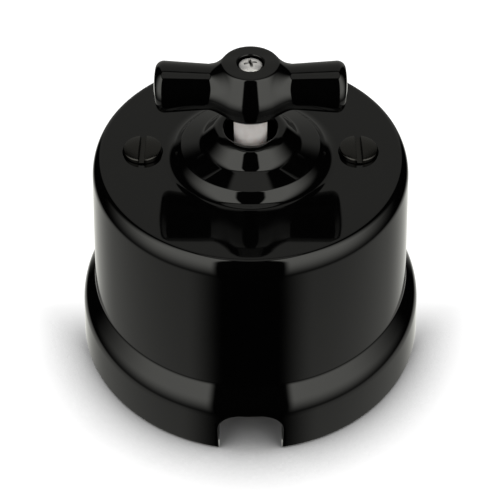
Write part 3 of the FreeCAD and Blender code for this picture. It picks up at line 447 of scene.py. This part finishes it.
def rounded_profile(corners, row=2.0, guard=0.12, closed=True):
    """A profile of (radius, height) points, from corners given with their rounding.
    Straight stretches get rows of points, with one close to each rounding to keep them flat."""
    runs = []
    last = len(corners) - 1
    for i, (radius, height, rounding) in enumerate(corners):
        if rounding and (closed or 0 < i < last):
            before, after = corners[i - 1], corners[(i + 1) % len(corners)]
            runs.append(arc_corner(before[:2], (radius, height), after[:2], rounding))
        else:
            runs.append([(radius, height)])
    points = []
    for i, run in enumerate(runs):
        points += run
        if i == last and not closed:
            break
        start, end = np.array(run[-1]), np.array(runs[(i + 1) % len(runs)][0])
        length = np.hypot(*(end - start))
        if length < 3 * guard:
            continue
        inner = np.arange(1, math.ceil(length / row)) / math.ceil(length / row) * length
        for along in [guard] + [d for d in inner if 2 * guard < d < length - 2 * guard] + [length - guard]:
            points.append(tuple(start + (end - start) * along / length))
    return points


def node_group(name, inputs, output):
    """A Geometry Nodes group with its inputs and one geometry output, and the node that gives its inputs."""
    tree = bpy.data.node_groups.new(name, "GeometryNodeTree")
    for label, kind in inputs.items():
        tree.interface.new_socket(label, in_out="INPUT", socket_type="NodeSocket" + kind)
    tree.interface.new_socket(output, in_out="OUTPUT", socket_type="NodeSocketGeometry")
    return tree, add_node(tree, "NodeGroupInput")


def turning_tree():
    """Geometry Nodes that turn a profile curve round the upright axis, as a potter's template does."""
    inputs = {"Profile": "Geometry", "Segments": "Int", "Material": "Material"}
    tree, given = node_group("turn profile", inputs, "Turned")
    circle = add_node(tree, "GeometryNodeCurvePrimitiveCircle", Radius=TURNING_RADIUS * MM,
                      links={"Resolution": given.outputs["Segments"]})
    swept = add_node(tree, "GeometryNodeCurveToMesh",
                     links={"Curve": circle.outputs["Curve"], "Profile Curve": given.outputs["Profile"]})
    smooth = add_node(tree, "GeometryNodeSetShadeSmooth", links={"Geometry": swept.outputs["Mesh"]})
    merged = add_node(tree, "GeometryNodeMergeByDistance", Distance=1e-6,
                      links={"Geometry": smooth.outputs[0]})
    coloured = add_node(tree, "GeometryNodeSetMaterial",
                        links={"Geometry": merged.outputs[0], "Material": given.outputs["Material"]})
    whole = add_node(tree, "GeometryNodeRealizeInstances", links={"Geometry": coloured.outputs[0]})
    add_node(tree, "NodeGroupOutput", links={"Turned": whole.outputs[0]})
    return tree


TURNING_RADIUS = 10.0
turn_profile = turning_tree()


def applied(piece, name):
    """The piece with its modifiers carried out, as a new plain mesh object."""
    evaluated = piece.evaluated_get(bpy.context.evaluated_depsgraph_get())
    mesh = bpy.data.meshes.new_from_object(evaluated)
    mesh.name = name
    bpy.data.objects.remove(piece)
    result = bpy.data.objects.new(name, mesh)
    bpy.context.scene.collection.objects.link(result)
    return result


def worked(piece, tree, values, name):
    """The piece with a Geometry Nodes group carried out on it, given the values of the group's inputs."""
    modifier = piece.modifiers.new(name, "NODES")
    modifier.node_group = tree
    for item in tree.interface.items_tree:
        if item.name in values:
            modifier[item.identifier] = values[item.name]
    return applied(piece, name)


def turned(name, profile, segments, material, closed=True):
    """A mesh made by turning a profile in millimetres round the upright axis."""
    curve = bpy.data.curves.new(name, "CURVE")
    curve.dimensions = "3D"
    spline = curve.splines.new("POLY")
    spline.points.add(len(profile) - 1)
    for point, (radius, height) in zip(spline.points, profile):
        point.co = ((radius - TURNING_RADIUS) * MM, -height * MM, 0.0, 1.0)
    spline.use_cyclic_u = closed
    piece = bpy.data.objects.new(name, curve)
    bpy.context.scene.collection.objects.link(piece)
    result = worked(piece, turn_profile, {"Segments": segments, "Material": material}, name)
    outwards(result)
    return result


def outwards(piece):
    """Merges doubled points and turns every face outwards."""
    mesh = bmesh.new()
    mesh.from_mesh(piece.data)
    bmesh.ops.remove_doubles(mesh, verts=mesh.verts, dist=1e-7)
    bmesh.ops.recalc_face_normals(mesh, faces=mesh.faces)
    mesh.to_mesh(piece.data)
    mesh.free()
    piece.data.update()


def ringed(name, points, count):
    """A closed mesh from rings of points that follow one another, with a flat face at each end."""
    last = len(points) - count
    faces = ring_faces(len(points) // count, count)
    faces += [tuple(range(count)), tuple(reversed(range(last, last + count)))]
    piece = mesh_object(name, points, faces)
    outwards(piece)
    return piece


def lipped_recess(radius, seat, corner, wall_top, rim, lip, above):
    """The profile of a cutter for a round recess, with a lip at its rim that the glaze has rounded."""
    profile = rounded_profile([(0.0, seat, 0), (radius, seat, corner), (radius, wall_top, 0)], closed=False)
    profile += arc_corner((radius, rim - 1.0), (radius, rim), (radius + 1.0, rim), lip, 12.0)
    return profile + [(radius + lip, above), (0.0, above)]


def carved(piece, name, cutters, sharp=32.0):
    """The piece with cutters taken out of it, shaded smooth up to the given angle."""
    for cutter in cutters:
        modifier = piece.modifiers.new("cut", "BOOLEAN")
        modifier.operation = "DIFFERENCE"
        modifier.solver = "EXACT"
        modifier.object = cutter
    result = applied(piece, name)
    for cutter in cutters:
        bpy.data.objects.remove(cutter)
    result.data.shade_smooth()
    result.data.set_sharp_from_angle(angle=math.radians(sharp))
    return result


# Black glaze: deep and almost a mirror, with a faint sway that bends what it mirrors.
glaze, tree, output = new_material("black glazed porcelain")
place = add_node(tree, "ShaderNodeTexCoord")
sway = add_node(tree, "ShaderNodeTexNoise", {"noise_dimensions": "3D"}, Scale=110.0, Detail=1.0, Roughness=0.4,
                links={"Vector": place.outputs["Object"]})
swell = add_node(tree, "ShaderNodeBump", Strength=0.05, Distance=0.4 * MM, links={"Height": sway.outputs[0]})
mottle = add_node(tree, "ShaderNodeTexNoise", Scale=900.0, Detail=2.0,
                  links={"Vector": place.outputs["Object"]})
gloss = add_node(tree, "ShaderNodeMapRange", links={"Value": mottle.outputs[0]}, To_Min=0.03, To_Max=0.06)
depth = colour_ramp(tree, mottle.outputs[0], [(0.0, linear("#020202")), (1.0, linear("#040404"))])
skin = add_node(tree, "ShaderNodeBsdfPrincipled", IOR=1.5,
                links={"Base Color": depth, "Roughness": gloss.outputs[0], "Normal": swell.outputs[0]})
tree.links.new(skin.outputs[0], output.inputs["Surface"])

# The cover's profile: the radius and the height of each corner, and how it is rounded.
RIM_WALL = [(29.6, 0.0, 0.4), (35.0, 0.0, 0.5), (34.0, 10.7, 8.0), (31.25, 15.2, 1.6)]
DRUM = [(28.9, 43.05, 6.5), (27.78, 45.0, 1.2)]
LID_FEATURES = [(21.0, 44.66, 420.0), (14.5, 44.44, 3.2), (12.7, 46.4, 0.6), (8.9, 47.7, 2.2),
                (6.25, 50.35, 1.95), (4.65, 50.35, 0.6)]
INSIDE = [(4.65, 40.5, 0.3), (25.9, 40.5, 1.8)]
COVER_SEGMENTS = 288
SMALL_SEGMENTS = 96
cover = turned("cover_blank", rounded_profile(RIM_WALL + DRUM + LID_FEATURES + INSIDE), COVER_SEGMENTS, glaze)

# The cable notch: its outline from one foot to the other, each point with its way out of the opening, and
# the cutter that flares into the wall's two faces with a glazed round.
NOTCH_HALF = 6.0
NOTCH_HEIGHT = 9.5
NOTCH_CORNER = 4.2
NOTCH_EDGE = 0.35
NOTCH_SWING = 10.0
NOTCH_LEAD = 0.8
NOTCH_FRONT = -42.0
NOTCH_BACK = -20.0
outline = [(-NOTCH_HALF, z, -1.0, 0.0) for z in (-3.0, 0.0, *np.linspace(0.5, NOTCH_HEIGHT - NOTCH_CORNER, 9))]
for angle in np.linspace(180.0, 90.0, 13)[1:]:
    c, s = math.cos(math.radians(angle)), math.sin(math.radians(angle))
    outline.append((-NOTCH_HALF + NOTCH_CORNER * (1 + c), NOTCH_HEIGHT - NOTCH_CORNER * (1 - s), c, s))
outline += [(x, NOTCH_HEIGHT, 0.0, 1.0) for x in (-1.2, -0.6, 0.0)]
outline += [(-x, z, -across, up) for x, z, across, up in reversed(outline[:-1])]

# The wall's two faces as heights and radii; the outer one leaves out the round at the rim's foot.
WALL_MIDDLE = 30.5
FOOT_ROUND = 0.45
INNER_FACE = [(0.0, RIM_WALL[0][0]), (INSIDE[1][1], INSIDE[1][0])]
OUTER_FACE = sorted({(z, r) for r, z in rounded_profile(RIM_WALL + DRUM) if r > WALL_MIDDLE and z > FOOT_ROUND}
                    | {(0.0, RIM_WALL[1][0])})
stations = []
for k in range(7):
    swing = math.radians(NOTCH_SWING + (90.0 - NOTCH_SWING) * k / 6)
    stations.append((OUTER_FACE, NOTCH_EDGE * (1 - math.cos(swing)), NOTCH_EDGE * (1 - math.sin(swing))))
_, depth, offset = stations[0]
flange = offset + NOTCH_LEAD / math.tan(math.radians(NOTCH_SWING))
outer_rings = [(OUTER_FACE, depth - NOTCH_LEAD, flange)] + stations
rings = outer_rings + [(INNER_FACE, -depth, offset) for _, depth, offset in reversed(outer_rings)]
points = [(x + across * flange, NOTCH_FRONT, z + up * flange) for x, z, across, up in outline]
for face, depth, offset in rings:
    for x, z, across, up in outline:
        x2, z2 = x + across * offset, z + up * offset
        wall = np.interp(max(z2, 0.0), *zip(*face)) - depth
        points.append((x2, -math.sqrt(max(wall * wall - x2 * x2, 0.0)), z2))
points += [(x + across * flange, NOTCH_BACK, z + up * flange) for x, z, across, up in outline]
notch_cutter = ringed("notch_cutter", points, len(outline))

# The two recesses for the screw heads. Their lips follow the lid, which falls inwards.
SCREW_PLACE = 19.67
SCREW_SEAT = 43.4
LID_EDGE = 45.0
LID_FALL = 0.3
LID_FOOT = 14.65
LID_WIDTH = 13.13
recess = lipped_recess(3.67, seat=SCREW_SEAT, corner=0.25, wall_top=44.7, rim=LID_EDGE, lip=0.22, above=46.5)
recess_cutters = []
for sign in (-1, 1):
    cutter = turned("recess_cutter", recess, SMALL_SEGMENTS, glaze, closed=False)
    cutter.data.transform(Matrix.Translation((sign * SCREW_PLACE * MM, 0.0, 0.0)))
    for vertex in cutter.data.vertices:
        if vertex.co.z > (LID_EDGE - 0.5) * MM:
            vertex.co.z += LID_FALL * MM * ((vertex.co.xy.length / MM - LID_FOOT) / LID_WIDTH - 1.0)
    recess_cutters.append(cutter)
cover = carved(cover, "porcelain_cover", [notch_cutter] + recess_cutters)
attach(cover, "housing")
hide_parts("cover")


# ---------------------------------------------------------------------------
# Cover screws: two slotted M4 cheese-head screws of blackened steel, which
# hold the cover down. They are turned, then slotted with a saw.

def dome(radius, side_level, crown):
    """The height of a screw head's domed top at a distance from its axis, and points across it."""
    ball = (radius * radius + crown * crown) / (2 * crown)

    def height(away):
        return side_level + crown - ball + math.sqrt(ball * ball - min(abs(away), radius) ** 2)

    return height, [(r, height(r), 0) for r in np.linspace(radius * 0.84, 0.0, 9)]


def slot_cutter(half_width, floor_level, edge, reach, surface):
    """A cutter along Y for a saw slot whose edges follow a domed top and are slightly broken."""
    above, chamfer = 1.2, 0.08
    round_angles = (0.5, 1.0, 1.5708)
    points = []
    for y in np.linspace(-reach, reach, 25):
        top = surface(y)
        side = [(half_width + edge, top + above), (half_width + edge, top)]
        side += [(half_width + edge * (1 - math.sin(a)), top - edge * (1 - math.cos(a))) for a in round_angles]
        side += [(half_width, floor_level + chamfer), (half_width - chamfer, floor_level)]
        ring = side + [(-x, z) for x, z in reversed(side)]
        points += [(x, y, z) for x, z in ring]
    return ringed("slot_cutter", points, len(ring))


def repeated(name, unit, places, body, material):
    """One plain mesh of a unit set down at evenly spaced places on a line, by Geometry Nodes."""
    inputs = {"Unit": "Geometry", "First place": "Vector", "Step": "Vector", "Count": "Int",
              "Material": "Material"}
    tree, given = node_group(name, inputs, "Pieces")
    line = add_node(tree, "GeometryNodeMeshLine", {"mode": "OFFSET"}, links={
        "Count": given.outputs["Count"], "Start Location": given.outputs["First place"],
        "Offset": given.outputs["Step"]})
    set_down = add_node(tree, "GeometryNodeInstanceOnPoints",
                        links={"Points": line.outputs[0], "Instance": given.outputs["Unit"]})
    whole = add_node(tree, "GeometryNodeRealizeInstances", links={"Geometry": set_down.outputs[0]})
    coloured = add_node(tree, "GeometryNodeSetMaterial",
                        links={"Geometry": whole.outputs[0], "Material": given.outputs["Material"]})
    add_node(tree, "NodeGroupOutput", links={"Pieces": coloured.outputs[0]})
    result = worked(unit, tree, {
        "First place": [c * MM for c in places[0]],
        "Step": [(b - a) * MM / (len(places) - 1) for a, b in zip(places[0], places[-1])],
        "Count": len(places), "Material": material}, name)
    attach(result, body)
    return result


# Blackened steel: oil-black oxide, satin from the turning; grain about 0.2 mm.
blackened_steel = metal("blackened steel", "#42413F", 0.26, 0.2, 0.06)
COVER_SHANK_RADIUS = 2.0
COVER_SHANK_END = 29.4
COVER_HEAD_RADIUS = 3.52
COVER_HEAD_SIDE = 45.55
surface, across_top = dome(COVER_HEAD_RADIUS, COVER_HEAD_SIDE, 0.5)
profile = rounded_profile([(0.0, COVER_SHANK_END, 0), (COVER_SHANK_RADIUS, COVER_SHANK_END, 0.3),
                           (COVER_SHANK_RADIUS, SCREW_SEAT, 0), (COVER_HEAD_RADIUS, SCREW_SEAT, 0.1),
                           (COVER_HEAD_RADIUS, COVER_HEAD_SIDE, 0.3)] + across_top,
                          row=4.0, guard=0.04, closed=False)
screw = turned("cover_screw", profile, SMALL_SEGMENTS, blackened_steel, closed=False)
screw = carved(screw, "cover_screw", [slot_cutter(0.55, floor_level=44.95, edge=0.1, reach=4.5, surface=surface)])
cover_screws = repeated("blackened_cover_screws", screw, [(-SCREW_PLACE, 0, 0), (SCREW_PLACE, 0, 0)], "housing",
                        blackened_steel)
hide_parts("cover_screws")


# ---------------------------------------------------------------------------
# Spindle: a white moulded nylon rod, smooth from the mould. It passes through
# the turret up into the knob, and turns the contact carrier.

# Nylon: slightly warm and translucent, so that light softens inside it; an even satin gloss.
nylon = smooth_skin("white nylon", "#F3EEEA", "#EAE3DE", 0.3, 1.5, 0.05, scatter=0.3)
finish_node(["spindle"], nylon)


# ---------------------------------------------------------------------------
# Knob: one piece of black glazed porcelain. Its hub swells to a belly over
# the spindle, and two slightly flared arms grow out of it with soft hollows.

ARM_LEVEL = 59.35
ARM_WAIST = 3.85
ARM_END_RADIUS = 4.55
ARM_END = 15.97
ARM_START = -4.0
KNOB_FOOT = 54.45
KNOB_TOP = 64.4
KNOB_BLEND = 1.7
KNOB_VOXEL = 0.24
WHOLE_STRETCHES = 50.0
hub_half = rounded_profile([(0.0, KNOB_FOOT, 0), (4.3, KNOB_FOOT, 0.6), (8.0, 57.4, 4.5), (4.9, KNOB_TOP, 0.45),
                            (0.0, KNOB_TOP, 0)], row=WHOLE_STRETCHES, closed=False)
arm_half = rounded_profile([(ARM_WAIST, 0.0, 0), (ARM_WAIST, 6.0, 30.0), (ARM_END_RADIUS, ARM_END, 1.5)]
                           + dome(ARM_END_RADIUS, ARM_END, 0.7)[1], row=WHOLE_STRETCHES, closed=False)
arm_inside = [(0.0, ARM_START), (ARM_WAIST, ARM_START)] + arm_half
arm_whole = [(r, -x) for r, x in reversed(arm_half)] + arm_half[1:]


def away_from(half, across, up):
    """How far points are from a form turned from half an outline, negative inside."""
    best = np.full(across.shape, 1e9)
    inside = np.zeros(across.shape, bool)
    for (x0, y0), (x1, y1) in zip(half, half[1:] + half[:1]):
        dx, dy = x1 - x0, y1 - y0
        if x0 > 0 or x1 > 0:
            t = np.clip(((across - x0) * dx + (up - y0) * dy) / max(dx * dx + dy * dy, 1e-12), 0.0, 1.0)
            best = np.minimum(best, np.hypot(across - x0 - t * dx, up - y0 - t * dy))
        if dy:
            inside ^= ((y0 > up) != (y1 > up)) & (across < x0 + (up - y0) * dx / dy)
    return np.where(inside, -best, best)


def knob_form(p):
    """The knob's surface is where this is zero: the hub and the arms, joined with a hollow round."""
    hub = away_from(hub_half, np.hypot(p[:, 0], p[:, 1]), p[:, 2])
    arms = away_from(arm_inside, np.hypot(p[:, 1], p[:, 2] - ARM_LEVEL), np.abs(p[:, 0]))
    near = np.hypot(np.maximum(KNOB_BLEND - hub, 0.0), np.maximum(KNOB_BLEND - arms, 0.0))
    return np.maximum(KNOB_BLEND, np.minimum(hub, arms)) - near


def knob_slope(p):
    """knob_form at some points, and the direction in which it rises there."""
    step = 0.004
    here = knob_form(p)
    slope = np.empty_like(p)
    for axis in range(3):
        shift = np.zeros(3)
        shift[axis] = step
        slope[:, axis] = (knob_form(p + shift) - here) / step
    return here, slope


# The hub and the arms as one rough mesh, whose points are then drawn onto the knob's surface. Between
# the passes they are evened out.
PASSES = 3
blank = turned("hub_blank", hub_half, SMALL_SEGMENTS, glaze, closed=False)
arms_blank = turned("arms_blank", arm_whole, SMALL_SEGMENTS, glaze, closed=False)
arms_blank.data.transform(Matrix.Translation((0, 0, ARM_LEVEL * MM)) @ Matrix.Rotation(math.pi / 2, 4, "Y"))
joined = bmesh.new()
joined.from_mesh(blank.data)
joined.from_mesh(arms_blank.data)
joined.to_mesh(blank.data)
joined.free()
bpy.data.objects.remove(arms_blank)
remesh = blank.modifiers.new("voxels", "REMESH")
remesh.mode = "VOXEL"
remesh.voxel_size = KNOB_VOXEL * MM
knob = applied(blank, "knob_blank")
for done in range(PASSES):
    p = np.empty(len(knob.data.vertices) * 3)
    knob.data.vertices.foreach_get("co", p)
    p = p.reshape(-1, 3) / MM
    for _ in range(2):
        here, slope = knob_slope(p)
        p -= slope * (here / np.maximum((slope * slope).sum(axis=1), 1e-6))[:, None]
    knob.data.vertices.foreach_set("co", (p * MM).ravel())
    if done < PASSES - 1:
        relaxed = bmesh.new()
        relaxed.from_mesh(knob.data)
        bmesh.ops.smooth_vert(relaxed, verts=relaxed.verts, factor=0.5,
                              use_axis_x=True, use_axis_y=True, use_axis_z=True)
        relaxed.to_mesh(knob.data)
        relaxed.free()
knob.data.materials.clear()
knob.data.materials.append(glaze)

# The recess for the screw's head on top, and the socket for the spindle below.
KNOB_SEAT = 63.2
SOCKET_RADIUS = 3.05
SOCKET_TOP = 56.05
SOCKET_START = 50.0
CUTTER_SEGMENTS = 72
recess = lipped_recess(2.35, seat=KNOB_SEAT, corner=0.1, wall_top=64.2, rim=KNOB_TOP, lip=0.18, above=66.0)
top_recess = turned("top_recess", recess, CUTTER_SEGMENTS, glaze, closed=False)
socket = turned("socket", [(0.0, SOCKET_START), (SOCKET_RADIUS, SOCKET_START), (SOCKET_RADIUS, SOCKET_TOP),
                           (0.0, SOCKET_TOP)], CUTTER_SEGMENTS, glaze, closed=False)
knob = carved(knob, "porcelain_knob", [top_recess, socket], 40.0)
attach(knob, "rotor")
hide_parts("knob")


# ---------------------------------------------------------------------------
# Knob screw: an M2 pan-head screw of nickel-plated steel with a cross recess,
# which draws the knob down on the spindle.

# Nickel: bright and warm white on the dome, with painted shade down in the cross, where ambient occlusion darkens
# its colour.
nickel = metal("nickel plated steel", "#F0EEEA", 0.26, 0.12, 0.04, 0.6)
tree = nickel.node_tree
plate = next(node for node in tree.nodes if node.type == "BSDF_PRINCIPLED")
# Painted shade: ambient occlusion darkens the colour in the cross recess.
depth = add_node(tree, "ShaderNodeAmbientOcclusion", Distance=0.9 * MM)
painted_recess_shade = add_node(tree, "ShaderNodeMapRange", links={"Value": depth.outputs["AO"]},
                From_Min=0.3, From_Max=0.6, To_Min=0.06)
shaded = add_node(tree, "ShaderNodeMix", {"data_type": "RGBA", "blend_type": "MULTIPLY"}, Factor=1.0,
                  links={6: plate.inputs["Base Color"].links[0].from_socket, 7: painted_recess_shade.outputs[0]})
tree.links.new(shaded.outputs[2], plate.inputs["Base Color"])
KNOB_SHANK_RADIUS = 1.0
KNOB_SHANK_END = 53.45
KNOB_HEAD_RADIUS = 2.0
KNOB_HEAD_SIDE = 63.95
_, across_top = dome(KNOB_HEAD_RADIUS, KNOB_HEAD_SIDE, 0.6)
profile = rounded_profile([(0.0, KNOB_SHANK_END, 0), (KNOB_SHANK_RADIUS, KNOB_SHANK_END, 0.1),
                           (KNOB_SHANK_RADIUS, KNOB_SEAT, 0), (KNOB_HEAD_RADIUS, KNOB_SEAT, 0.08),
                           (KNOB_HEAD_RADIUS, KNOB_HEAD_SIDE, 0.22)] + across_top,
                          row=4.0, guard=0.03, closed=False)
knob_screw = turned("knob_screw", profile, SMALL_SEGMENTS, nickel, closed=False)

# The cross: a quarter of its outline, its width and height at three levels, and its tip.
CROSS = [(1.2, 0.24), (0.3, 0.3), (0.24, 1.2)]
CROSS_LEVELS = [(1.04, 64.75), (1.0, 64.5), (0.75, 63.6)]
CROSS_TIP = 63.45
CROSS_TURN = 12.0
corner_points = CROSS + [(-x, y) for x, y in reversed(CROSS)]
corner_points += [(-x, -y) for x, y in corner_points]
points = [(x * s, y * s, z) for s, z in CROSS_LEVELS for x, y in corner_points]
points.append((0.0, 0.0, CROSS_TIP))
count = len(corner_points)
lowest = (len(CROSS_LEVELS) - 1) * count
faces = ring_faces(len(CROSS_LEVELS), count)
faces += [(lowest + i, lowest + (i + 1) % count, lowest + count) for i in range(count)]
faces.append(tuple(range(count)))
cross_cutter = mesh_object("cross_cutter", points, faces)
outwards(cross_cutter)
cross_cutter.data.transform(Matrix.Rotation(math.radians(CROSS_TURN), 4, "Z"))
knob_screw = carved(knob_screw, "nickel_knob_screw", [cross_cutter])
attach(knob_screw, "rotor")
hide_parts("knob_screw")
